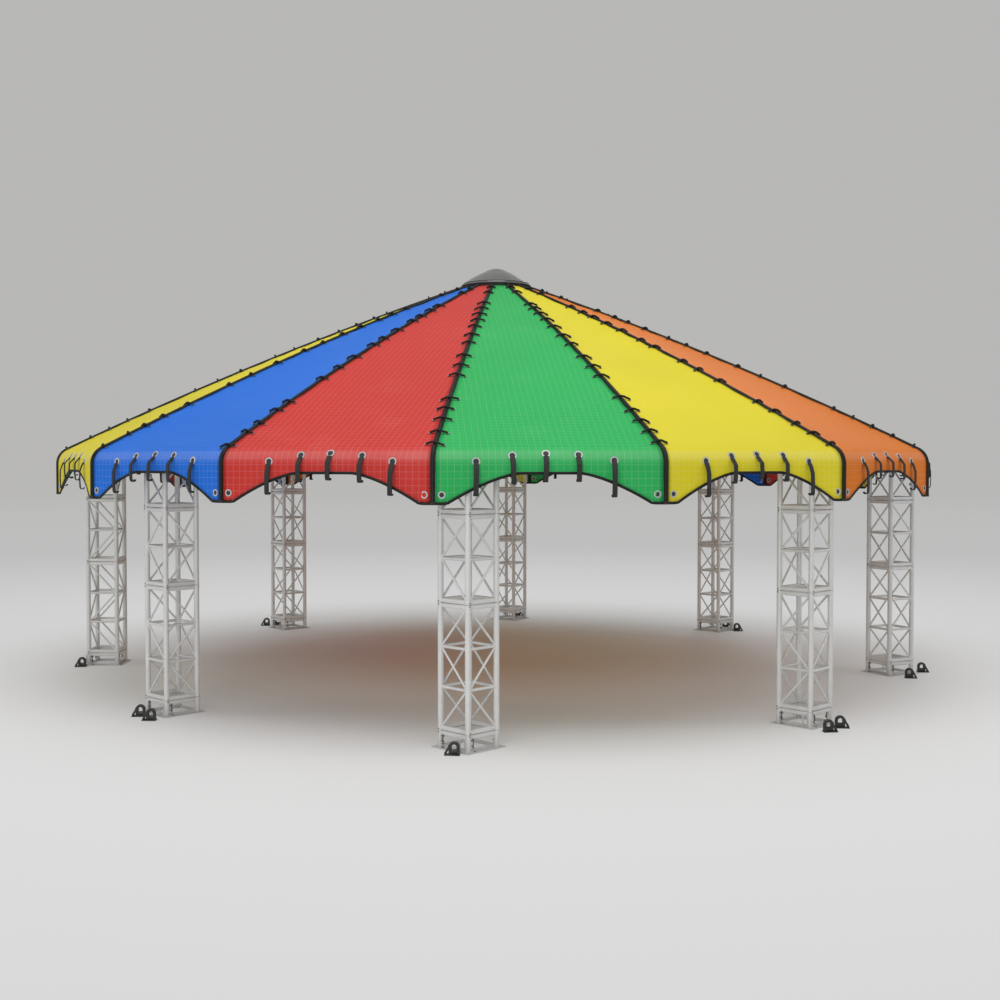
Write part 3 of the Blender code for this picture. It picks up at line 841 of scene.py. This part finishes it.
class CANOPY_OT_valance(Operator):
    """Large eyelets and hanging webbing straps along the valance"""
    bl_idname = "canopy.valance"
    bl_label = "Valance straps"

    def execute(self, context):
        trim = context.scene.canopy_trim
        metal = eyelet_finish("valance_eyelet", trim.eyelet)
        webbing = webbing_finish("webbing", trim.webbing)
        # Painted shade: a dark disc fills each eyelet's hole, in place of the shade seen through it
        dark = painted_finish("eyelet_throat", shade(trim.black, 1.2), 0.6, shade(trim.black, 3.0), 0.3)
        corner = 1.0 - CORNER_EYELET_INSET / half_width(SEAM_RADIUS)
        for index, label in enumerate(LABELS):
            chance = random.Random(trim.seed * 100 + index)
            rings, hole_shades, straps = new_mesh(), new_mesh(), new_mesh()
            for share, top, end in zip(STRAP_SHARES, STRAP_TOPS, STRAP_ENDS):
                share += STRAP_SHIFTS.get(index, 0.0) + chance.uniform(-0.012, 0.012)
                place = eave_frame(share, top + chance.uniform(-0.008, 0.008))
                self.add_eyelet(rings, hole_shades, place, trim.eyelet_width)
                end += chance.uniform(-0.018, 0.018)
                self.add_strap(straps, place.translation, end, trim, chance)
            for share in (-corner, corner):
                place = eave_frame(share, CORNER_EYELET_HEIGHT + chance.uniform(-0.006, 0.006))
                self.add_eyelet(rings, hole_shades, place, CORNER_EYELET_SIZE * trim.eyelet_width)
            made = (("valance_eyelets", rings, metal), ("eyelet_throats", hole_shades, dark),
                    ("straps", straps, webbing))
            for name, mesh, finish in made:
                add_piece(f"{name}_{label}", mesh, finish, (), panel_turn(index))
        return {"FINISHED"}

    def add_eyelet(self, rings, hole_shades, place, width):
        for side in (1.0, -1.0):
            face = place @ Matrix.Translation((0.0, 0.0, side * 0.003))
            washer(rings, 0.41 * width, EYELET, 16, face)
            # Painted shade: a dark disc in the eyelet's hole
            bar(hole_shades, face @ (UP * -0.001), face @ (UP * 0.0008), 0.33 * width, 16)

    def add_strap(self, straps, eyelet, end, trim, chance):
        """The strap leaves the eyelet, stands out from the cloth, hangs past the hem and curls in."""
        bow = chance.uniform(0.050, 0.064)
        face = -SEAM_RADIUS * math.cos(HALF_STEP)
        hook = chance.uniform(0.018, 0.026)
        drop = eyelet.z - end
        leaving = ((0.004, 0.014), (-0.010, 0.017), (-0.024, 0.030))
        outline = [(eyelet.y + reach, eyelet.z - fall) for reach, fall in leaving]
        hanging = ((0.7, 0.075), (0.95, 0.35 * drop), (1.0, 0.65 * drop), (0.92, drop - hook))
        outline += [(face - share * bow, eyelet.z - fall) for share, fall in hanging]
        for degrees in STRAP_CURL:
            out, up = polar(hook, math.radians(degrees))
            outline.append((face - 0.92 * bow + hook - out, end + hook - up))
        sway = chance.uniform(-0.014, 0.014)
        points = [Vector((eyelet.x + sway * (eyelet.z - z) / drop, y, z)) for y, z in outline]
        side = Vector((1.0, 0.0, chance.uniform(-0.05, 0.05)))
        draw(straps, rounded_strip(trim.strap_width, STRAP_THICKNESS, 0.003), points, side)


# Towers stand in their own axes; TOWER_SIDES turns their first side to each of the four
LEG = Vector((-CHORD_REACH, -CHORD_REACH, 0.0))
TOWER_SIDES = [turned(90.0 * quarter) for quarter in range(4)]


def side_ends(turn, level):
    return [turn @ Vector((x, -CHORD_REACH, level)) for x in (-CHORD_REACH, CHORD_REACH)]


def build_truss(brace_radius):
    """Tubes of one tower, standing on its base frame."""
    mesh = new_mesh()
    inset = (FRAME_BAR + JOINT_GAP) / 2.0
    for turn, lean in zip(TOWER_SIDES, SIDE_LEANS):
        bottom = BASE_TOP
        leg = turn @ LEG
        for low, high in zip((CHORD_BOTTOM, *JOINTS), JOINTS):
            bar(mesh, leg + UP * (low + JOINT_GAP), leg + UP * (high - JOINT_GAP), CHORD_RADIUS, 18)
        flat_bar(mesh, turn, BASE_TOP - inset)
        for high, bays in zip(MODULE_TOPS, MODULE_BAYS):
            flat_bar(mesh, turn, bottom + inset)
            flat_bar(mesh, turn, high - inset)
            first = bottom + FRAME_BAR
            pitch = (high - FRAME_BAR - first + MIDDLE_BAR) / bays
            for bay in range(bays):
                low = first + pitch * bay
                top = low + pitch - MIDDLE_BAR
                add_brace(mesh, turn, lean, low - 0.004, top + 0.004, brace_radius)
                if bay < bays - 1:
                    ends = side_ends(turn, top + MIDDLE_BAR / 2.0)
                    bar(mesh, *ends, MIDDLE_BAR / 2.0 - 0.001, 10)
                lean = -lean
            bottom = high
        block(mesh, (0.088, 0.088, 0.010), leg + UP * 0.015, 0.003)
    add_ground_frame(mesh)
    return mesh


def flat_bar(mesh, turn, level):
    section = rounded_strip(0.036, FRAME_BAR - 0.005, 0.008)
    draw(mesh, section, side_ends(turn, level), turn.to_3x3() @ NORTH)


def add_brace(mesh, turn, lean, low, high, radius):
    """One diagonal tube of a bay, with a weld bead at each end."""
    inner = lean * (CHORD_REACH - CHORD_RADIUS + 0.006)
    start = turn @ Vector((-inner, -CHORD_REACH, low))
    end = turn @ Vector((inner, -CHORD_REACH, high))
    along = (end - start).normalized()
    bar(mesh, start, end, radius, 10)
    for place, way in ((start, along), (end, -along)):
        bar(mesh, place + way * 0.006, place + way * 0.022, radius + 0.0045, 8, radius + 0.0005)


def add_ground_frame(mesh):
    """The square frame of flat bars under the legs, with an upright edge inside."""
    for half, band, low, high in GROUND_FRAME:
        made = bmesh.ops.create_grid(mesh, x_segments=1, y_segments=1, size=half)["verts"]
        middle = made[0].link_faces[0]
        rim = bmesh.ops.inset_region(mesh, faces=[middle], thickness=band, use_boundary=True,
                                     use_even_offset=True)["faces"]
        bmesh.ops.delete(mesh, geom=[middle], context="FACES_ONLY")
        corners = list({vert for face in rim for vert in face.verts})
        bmesh.ops.translate(mesh, vec=UP * low, verts=corners)
        grown = bmesh.ops.extrude_face_region(mesh, geom=rim, use_keep_orig=True)["geom"]
        lifted = [part for part in grown if isinstance(part, bmesh.types.BMVert)]
        bmesh.ops.translate(mesh, vec=UP * (high - low), verts=lifted)


def build_tower_fittings():
    """Dark pins, joint cores and latches of one tower."""
    mesh = new_mesh()
    for turn in TOWER_SIDES:
        leg = turn @ LEG
        along, out = turn.to_3x3() @ EAST, turn.to_3x3() @ -NORTH
        for joint in JOINTS[:-1]:
            level = leg + UP * joint
            bar(mesh, level - UP * 0.006, level + UP * 0.006, 0.025, 12)
            for height in (-0.016, 0.016):
                pin = level + UP * height
                bar(mesh, pin - out * 0.036, pin + out * 0.036, 0.0045, 8)
                bar(mesh, pin + out * 0.029, pin + out * 0.034, 0.0075, 8)
        latch = leg + along * 0.052 + out * 0.014
        path = [latch + out * reach + UP * height for reach, height in LATCH_PATH]
        draw(mesh, rounded_strip(0.016, 0.008, 0.002), path, along)
        for height, reach, radius in LATCH_BARS:
            hinge = latch + UP * height
            bar(mesh, hinge - along * 0.030, hinge + along * reach, radius, 8)
        block(mesh, (0.018, 0.018, 0.010), leg + along * 0.062 + UP * 0.014 + out * 0.03, 0.002)
    return mesh


def build_tower_loop():
    """The upright steel loop beside the front leg, and the stub that holds it."""
    mesh = new_mesh()
    away = Vector((-1.0, 1.0, 0.0)).normalized()
    low, high = 0.046, 0.122
    points = []
    for angle in round_angles(16):
        out, up = polar(0.026, angle)
        points.append(LEG + away * (0.055 + out) + UP * ((low if up < 0.0 else high) + up))
    draw(mesh, circle(0.0075, 8), points, Vector((1.0, 1.0, 0.0)), True)
    bar(mesh, LEG + UP * 0.084, LEG + away * 0.032 + UP * 0.084, 0.011, 10)
    return mesh


def node_place(name):
    """The ground under the middle of a solid."""
    low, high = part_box(name)
    middle = (low + high) / 2.0
    return Vector((middle.x, middle.y, 0.0))


class CANOPY_OT_towers(Operator):
    """Eight welded truss towers with their base frames, pins and latches"""
    bl_idname = "canopy.towers"
    bl_label = "Truss towers"

    def execute(self, context):
        settings = context.scene.canopy_metal
        light = aluminium_finish("tower_aluminium", settings.aluminium)
        dark = painted_finish("tower_fittings", settings.fittings, 0.42, (0.35, 0.35, 0.34), 0.32)
        steel = aluminium_finish("loop_steel", shade(settings.aluminium, 0.8), 0.1)
        for index, turn in enumerate(TOWER_TURNS):
            node = f"tower_{index + 1}"
            place = Matrix.Translation(node_place(node)) @ turned(turn)
            for name, mesh, finish, nodes in (
                    ("truss", build_truss(settings.brace_thickness / 2.0), light, [node]),
                    ("fittings", build_tower_fittings(), dark, ()),
                    ("loop", build_tower_loop(), steel, ())):
                add_piece(f"{node}_{name}", mesh, finish, nodes, place)
        return {"FINISHED"}


class CANOPY_OT_anchors(Operator):
    """Black ground anchors: an arched lug with a round hole and a gusset, on a bolted foot plate"""
    bl_idname = "canopy.anchors"
    bl_label = "Ground anchors"

    def execute(self, context):
        settings = context.scene.canopy_metal
        finish = painted_finish("anchor_paint", settings.anchor, 0.26, (0.05, 0.05, 0.05), 0.30,
                                0.25, 0.010)
        for number, label in enumerate(LABELS[:ANCHORS], 1):
            middle = node_place(f"anchor_{label}")
            mesh = new_mesh()
            self.add_lug(mesh, 1.0 if middle.x > 0.0 else -1.0)
            place = Matrix.Translation(middle) @ turned(random.Random(number).uniform(-8.0, 8.0))
            add_piece(f"anchor_eye_{label}", mesh, finish, [f"anchor_{label}"], place)
        return {"FINISHED"}

    def add_lug(self, mesh, away):
        """The lug stands near the tower's side of the plate; the gusset slopes to the far side."""
        middle = Vector((-0.020 * away, 0.0, 0.0))
        block(mesh, (0.158, 0.080, 0.012), UP * 0.006, 0.003)
        points = []
        for step in range(13):
            side, up = polar(0.040, math.pi * step / 12)
            points.append(middle + Vector((side, 0.0, 0.084 + up)))
        feet = [Vector((point.x, 0.0, 0.010)) for point in (points[0], points[-1])]
        draw(mesh, rounded_strip(0.040, 0.030, 0.005), [feet[0], *points, feet[1]], NORTH)
        block(mesh, (0.070, 0.036, 0.048), middle + UP * 0.034, 0.005)
        slope = [middle + Vector((away * along, 0.0, height))
                 for along, height in ((0.046, 0.100), (0.060, 0.066), (0.092, 0.016))]
        draw(mesh, rounded_strip(0.018, 0.022, 0.003), slope, NORTH)
        for x in (0.066, -0.066):
            for y in (0.026, -0.026):
                bolt = Vector((x, y, 0.010))
                bar(mesh, bolt, bolt + UP * 0.010, 0.009, 6)


class CANOPY_OT_beam(Operator):
    """The latticed beam ring on the tower heads, with a saddle under each seam tube"""
    bl_idname = "canopy.beam"
    bl_label = "Beam ring"

    def execute(self, context):
        settings = context.scene.canopy_metal
        finish = aluminium_finish("beam_aluminium", shade(settings.aluminium, 0.95))
        mesh = new_mesh()
        levels = (BEAM_BOTTOM + BEAM_TUBE, BEAM_BOTTOM + BEAM_DEPTH - BEAM_TUBE)
        reaches = [BEAM_RADIUS + way * (BEAM_WIDTH / 2.0 - BEAM_TUBE) for way in (-1.0, 1.0)]
        for reach in reaches:
            for level in levels:
                points = [on_bearing(reach, bearing, level) for bearing in SEAM_BEARINGS]
                draw(mesh, circle(BEAM_TUBE, 10), points, UP, True)
        for bearing in SEAM_BEARINGS:
            self.add_webs(mesh, bearing, reaches, levels)
            self.add_saddle(mesh, bearing)
        add_piece("beam_lattice", mesh, finish, ["beam_ring"])
        return {"FINISHED"}

    def add_webs(self, mesh, bearing, reaches, levels):
        """Uprights, rungs and diagonals of the beam between one seam and the next."""
        low, high = levels
        for bay in range(BEAM_BAYS):
            rails = []
            for reach in reaches:
                start, end = on_bearing(reach, bearing), on_bearing(reach, bearing + SEAM_STEP)
                rails.append([start.lerp(end, step / BEAM_BAYS) for step in (bay, bay + 1)])
            first, last = (low, high) if bay % 2 else (high, low)
            for near, far in rails:
                bar(mesh, near + UP * low, near + UP * high, BEAM_WEB, 6)
                bar(mesh, near + UP * first, far + UP * last, BEAM_WEB, 6)
            for level in levels:
                bar(mesh, rails[0][0] + UP * level, rails[1][0] + UP * level, BEAM_WEB, 6)

    def add_saddle(self, mesh, bearing):
        """A plate bracket whose bent cradle takes the underside of the seam tube."""
        top = BEAM_BOTTOM + BEAM_DEPTH
        made = set()
        for size, rise in SADDLE_PLATES:
            made.update(block(mesh, size, UP * (top + rise), 0.003))
        stand = Matrix.Translation(on_bearing(BEAM_RADIUS, bearing)) @ turned(bearing)
        bmesh.ops.transform(mesh, matrix=stand, verts=list(made))
        arc = [math.radians(degrees) for degrees in range(200, 341, 28)]
        section = [polar(TUBE_RADIUS + 0.001, angle) for angle in arc]
        section += [polar(TUBE_RADIUS + 0.007, angle) for angle in reversed(arc)]
        place = roof_frame(bearing, BEAM_RADIUS)
        sweep(mesh, section, [place @ Matrix.Translation(UP * step) for step in (-0.05, 0.05)])


class CANOPY_OT_crown(Operator):
    """The cap, its black band and the fittings of the crown ring"""
    bl_idname = "canopy.crown"
    bl_label = "Crown and cap"

    def execute(self, context):
        metal = context.scene.canopy_metal
        self.add_cap(painted_finish("cap_paint", metal.cap, 0.20, shade(metal.cap, 3.0), 0.30, 0.5))
        self.add_band(trim_finish("crown_band", context.scene.canopy_trim.black, 0.6, 4.0, 0.14))
        ring = aluminium_finish("crown_aluminium", shade(metal.aluminium, 0.9))
        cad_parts["crown_ring"].data.materials.clear()
        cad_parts["crown_ring"].data.materials.append(ring)
        self.add_sockets(painted_finish("crown_fittings", metal.fittings, 0.4, (0.4, 0.4, 0.4), 0.3))
        return {"FINISHED"}

    def add_cap(self, finish):
        """Cone with a dished foot, a rolled lip and a rounded top."""
        outside = list(CAP_LIP)
        foot_radius, foot_height = CAP_LIP[-1]
        top_radius, top_height = CAP_SHOULDER
        for step in range(1, 13):
            share = step / 12.0
            bulge = CAP_BULGE * math.sin(math.pi * share)
            outside.append((foot_radius + (top_radius - foot_radius) * share,
                            foot_height + (top_height - foot_height) * share + bulge))
        for step in range(1, 9):
            share = 1.0 - step / 8.0
            outside.append((top_radius * share, top_height + CAP_DOME * (1.0 - share * share)))
        shell = reversed(outside[len(CAP_LIP) - 1:])
        inside = [(max(radius - CAP_WALL, 0.0), height - CAP_WALL) for radius, height in shell]
        mesh = spun([*outside, *inside, *CAP_FOOT], 72)
        add_piece("cap_shell", mesh, finish, ["cap"], sharp=50.0)

    def add_band(self, finish):
        """The black band under the cap: a flat skirt and a rope that lies on it."""
        steps = 64
        add_piece("crown_skirt", spun(SKIRT, steps), finish)
        rope = new_mesh()
        points = []
        for step in range(steps):
            wobble = 0.008 * noise.noise(Vector((0.35 * step, 4.0, 1.0)))
            points.append(on_bearing(0.483 + wobble, 360.0 * step / steps, 5.377 + wobble))
        draw(rope, circle(0.023, 8), points, UP, True)
        add_piece("crown_rope", rope, finish)

    def add_sockets(self, finish):
        """A short sleeve and two bolts where each seam tube meets the crown ring."""
        mesh = new_mesh()
        for bearing in SEAM_BEARINGS:
            centre = on_bearing(0.400, bearing, CROWN_HEIGHT - 0.022)
            inward = on_bearing(-1.0, bearing)
            for way in (-1.0, 1.0):
                head = centre + on_bearing(1.0, bearing + 90.0) * (0.030 * way)
                bar(mesh, head, head + inward * 0.010, 0.011, 6)
                bar(mesh, head + inward * 0.008, head + inward * 0.018, 0.006, 8)
            sleeve = [on_bearing(reach, bearing, CROWN_HEIGHT) for reach in (0.468, 0.484)]
            bar(mesh, *sleeve, 0.031, 12)
        add_piece("crown_bolts", mesh, finish)


class CANOPY_OT_stage(Operator):
    """Pale floor that fades into the backdrop, soft light and the camera"""
    bl_idname = "canopy.stage"
    bl_label = "Studio"

    def execute(self, context):
        settings = context.scene.canopy_stage
        context.scene.view_settings.view_transform = "Standard"
        self.add_floor(settings)
        self.add_world(context, settings)
        for name, place, target, size, share in LAMPS:
            lamp = self.add_area(name, place, target, size, share * settings.key_power)
        lamp.data.color = GLOW_COLOUR
        lamp.visible_camera = False
        self.add_camera(context)
        return {"FINISHED"}

    def add_floor(self, settings):
        """Pale floor: a painted shadow under the roof, tinted with the cloths' coloured light, and
        painted light of its own, brighter in front, that fades into the backdrop far away.
        """
        mesh = bmesh.new()
        bmesh.ops.create_circle(mesh, cap_ends=True, segments=96, radius=FLOOR_RADIUS)
        finish = Finish("studio_floor", 0.25)
        east, north, _ = finish.parts(finish.place)
        distance = (east * east + north * north) ** 0.5
        grain = finish.noise(1.4, 4.0, 0.6)
        finish.body = finish.mix(grain, shade(settings.floor, 0.985), shade(settings.floor, 1.01))
        # Painted shadow: darker under the roof, reddish on the left and olive on the right, like light
        # through the cloth
        under = ((north - 1.2) * (north - 1.2) * 1.25 + east * east) ** 0.5
        painted_shadow_tint = finish.mix(east.step(-2.2, 1.2), (0.46, 0.30, 0.29), (0.47, 0.395, 0.25))
        finish.over(under.step(5.0, 1.2) * 0.74, painted_shadow_tint)
        finish.surface(Roughness=0.62 + 0.1 * grain)
        # Painted light: away from the roof the floor glows instead of taking the lamps' light, brighter
        # in front than behind, fading into the backdrop far away
        far = finish.mix(north.step(-5.5, 1.5), (0.735, 0.735, 0.735), (0.650, 0.650, 0.650))
        far = finish.mix(distance.step(6.0, 28.0), far, (0.515, 0.515, 0.512))
        far = finish.mix(distance.step(25.0, 110.0), far, settings.backdrop)
        glow = finish.node("Emission", None, {"Color": far})
        plain = Signal(finish, finish.shader.outputs[0])
        faded = finish.node("MixShader", None, {0: distance.step(3.4, 9.6), 1: plain, 2: glow})
        finish.feed(finish.tree.nodes["Material Output"].inputs[0], faded)
        floor = mesh_object("floor", mesh, finish.material)

    def add_world(self, context, settings):
        world = bpy.data.worlds.new("studio")
        world.use_nodes = True
        background = world.node_tree.nodes["Background"].inputs
        background["Color"].default_value = (*settings.backdrop, 1.0)
        background["Strength"].default_value = 1.0
        context.scene.world = world

    def add_area(self, name, place, target, size, power):
        light = bpy.data.lights.new(name, "AREA")
        light.size = size
        light.energy = power
        lamp = add_object(name, light)
        lamp.location = place
        lamp.rotation_euler = (Vector(target) - Vector(place)).to_track_quat("-Z", "Y").to_euler()
        return lamp

    def add_camera(self, context):
        camera = bpy.data.cameras.new("camera")
        camera.lens = CAMERA_LENS
        camera.sensor_width = 36.0
        camera.shift_x = CAMERA_SHIFT
        camera.clip_end = 400.0
        holder = add_object("camera", camera)
        holder.location = CAMERA_PLACE
        holder.rotation_euler = (math.radians(90.0 - CAMERA_PITCH), 0.0, 0.0)
        context.scene.camera = holder


class CANOPY_PT_sidebar(Panel):
    """The canopy's pieces and their settings"""
    bl_idname = "CANOPY_PT_sidebar"
    bl_label = "Round canopy"
    bl_space_type = "VIEW_3D"
    bl_region_type = "UI"
    bl_category = "Canopy"

    def draw(self, context):
        for maker in OPERATORS:
            self.layout.operator(maker.bl_idname)
        for name in SETTINGS:
            group = getattr(context.scene, name)
            box = self.layout.box()
            for field in group.bl_rna.properties:
                if field.identifier not in ("rna_type", "name"):
                    box.prop(group, field.identifier)


OPERATORS = (CANOPY_OT_cloth, CANOPY_OT_seams, CANOPY_OT_lacing, CANOPY_OT_valance, CANOPY_OT_towers,
             CANOPY_OT_anchors, CANOPY_OT_beam, CANOPY_OT_crown, CANOPY_OT_stage)
SETTINGS = {"canopy_cloth": ClothSettings, "canopy_trim": TrimSettings, "canopy_metal": MetalSettings,
            "canopy_stage": StageSettings}
CLASSES = (*SETTINGS.values(), *OPERATORS, CANOPY_PT_sidebar)


def register():
    for kind in CLASSES:
        bpy.utils.register_class(kind)
    for name, kind in SETTINGS.items():
        setattr(bpy.types.Scene, name, PointerProperty(type=kind))


def unregister():
    for name in SETTINGS:
        delattr(bpy.types.Scene, name)
    for kind in reversed(CLASSES):
        bpy.utils.unregister_class(kind)


def main():
    register()
    for maker in OPERATORS:
        group, name = maker.bl_idname.split(".")
        getattr(getattr(bpy.ops, group), name)()


if __name__ == "__main__":
    main()
